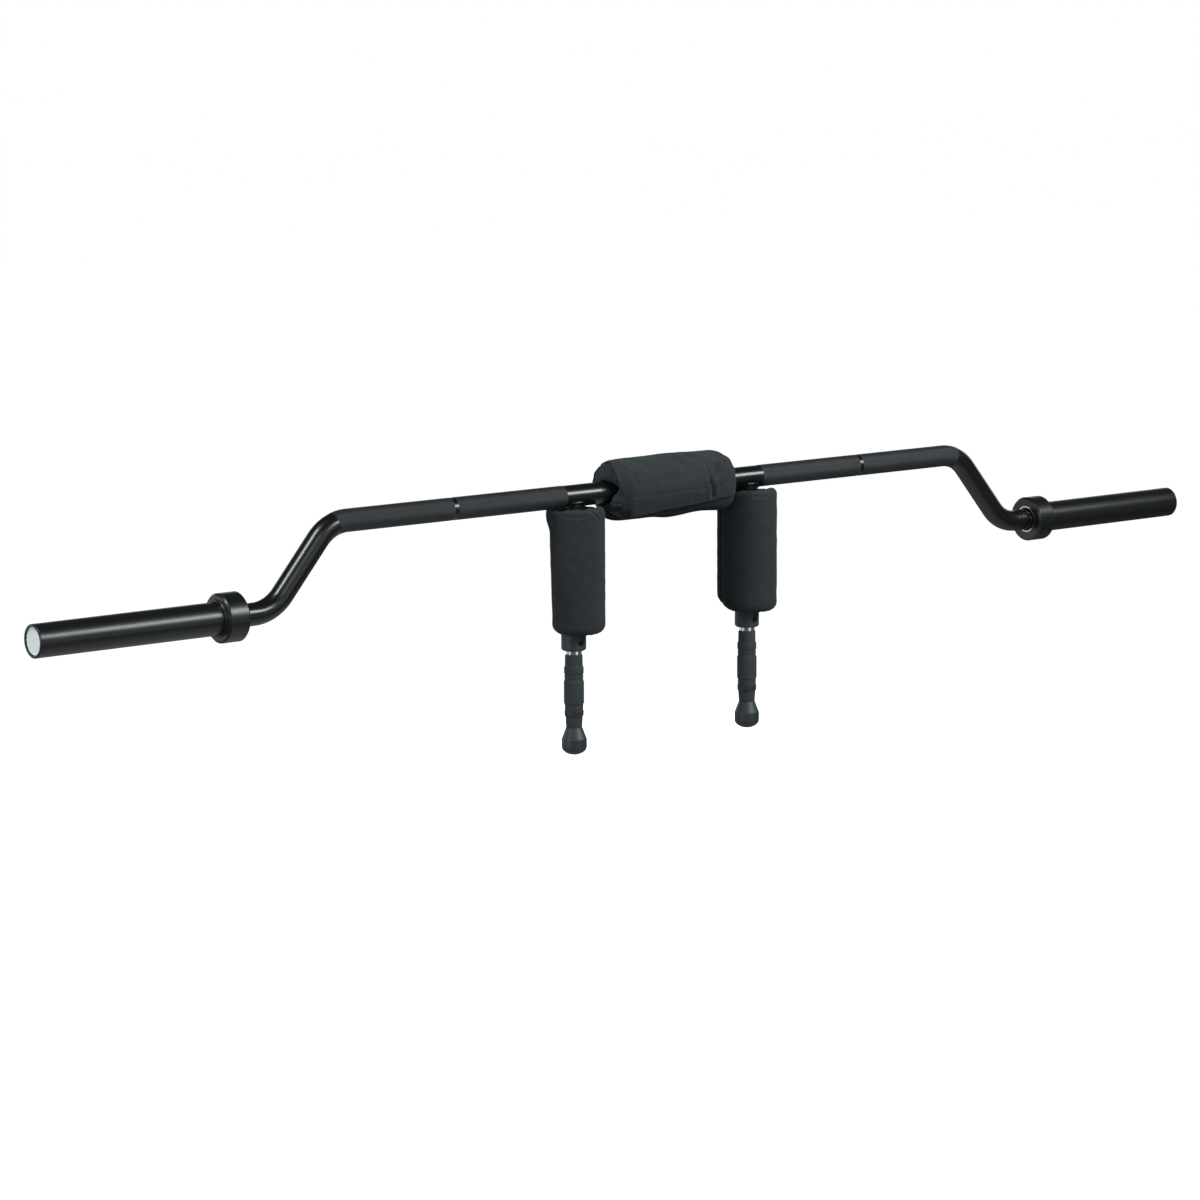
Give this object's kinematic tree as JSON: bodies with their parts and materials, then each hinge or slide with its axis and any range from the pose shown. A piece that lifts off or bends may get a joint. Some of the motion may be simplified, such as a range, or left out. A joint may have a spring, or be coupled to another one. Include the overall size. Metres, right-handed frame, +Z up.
{
  "type": "safety squat bar",
  "caption": "Cambered squat barbell with free-turning plate sleeves, padded shoulder arms with handles, and a padded neck roll.",
  "frame": {"origin": "the middle of the level tube's axis, where the bar lies in a rack's hooks", "axes": "+X along the bar, +Z up away from the handles, -Y the side that the neck roll's flap looks to"},
  "size_m": [2.2864, 0.0996, 0.4623],
  "materials": {
    "bar_black": "gloss",
    "sleeve_black": "satin",
    "bright_steel": "polished",
    "bush_dark": "matte",
    "cap_silver": "satin",
    "hub_black": "satin",
    "chrome_rod": "polished",
    "grip_rubber": "matte",
    "knob_plastic": "satin",
    "pad_fabric": "matte",
    "pad_foam": "matte",
    "hook_tape": "matte"
  },
  "bodies": {
    "bar": {"bar_shaft": "bar_black", "neck_pad_foam": "pad_foam", "neck_pad_cover": "pad_fabric", "neck_pad_hook_strip": "hook_tape", "neck_pad_flap": "pad_fabric", "left_thrust_washer": "bright_steel", "left_bar_circlip": "bright_steel", "left_arm": "bar_black", "left_hub": "hub_black", "left_set_screw": "hub_black", "left_handle_rod": "chrome_rod", "left_grip": "grip_rubber", "left_knob": "knob_plastic", "left_pad_foam": "pad_foam", "left_pad_cover": "pad_fabric", "left_pad_hook_strip": "hook_tape", "left_pad_flap": "pad_fabric", "right_thrust_washer": "bright_steel", "right_bar_circlip": "bright_steel", "right_arm": "bar_black", "right_hub": "hub_black", "right_set_screw": "hub_black", "right_handle_rod": "chrome_rod", "right_grip": "grip_rubber", "right_knob": "knob_plastic", "right_pad_foam": "pad_foam", "right_pad_cover": "pad_fabric", "right_pad_hook_strip": "hook_tape", "right_pad_flap": "pad_fabric"},
    "left_sleeve_unit": {"left_collar": "sleeve_black", "left_sleeve": "sleeve_black", "left_inner_bush": "bush_dark", "left_collar_circlip": "bright_steel", "left_outer_bush": "bush_dark", "left_end_cap": "cap_silver"},
    "right_sleeve_unit": {"right_collar": "sleeve_black", "right_sleeve": "sleeve_black", "right_inner_bush": "bush_dark", "right_collar_circlip": "bright_steel", "right_outer_bush": "bush_dark", "right_end_cap": "cap_silver"}
  },
  "joints": [
    {"name": "left_sleeve_spin", "type": "hinge", "parent": "bar", "child": "left_sleeve_unit", "pos_m": [-0.98, 0, -0.125], "axis": [1, 0, 0], "continuous": true},
    {"name": "right_sleeve_spin", "type": "hinge", "parent": "bar", "child": "right_sleeve_unit", "pos_m": [0.98, 0, -0.125], "axis": [1, 0, 0], "continuous": true}
  ]
}
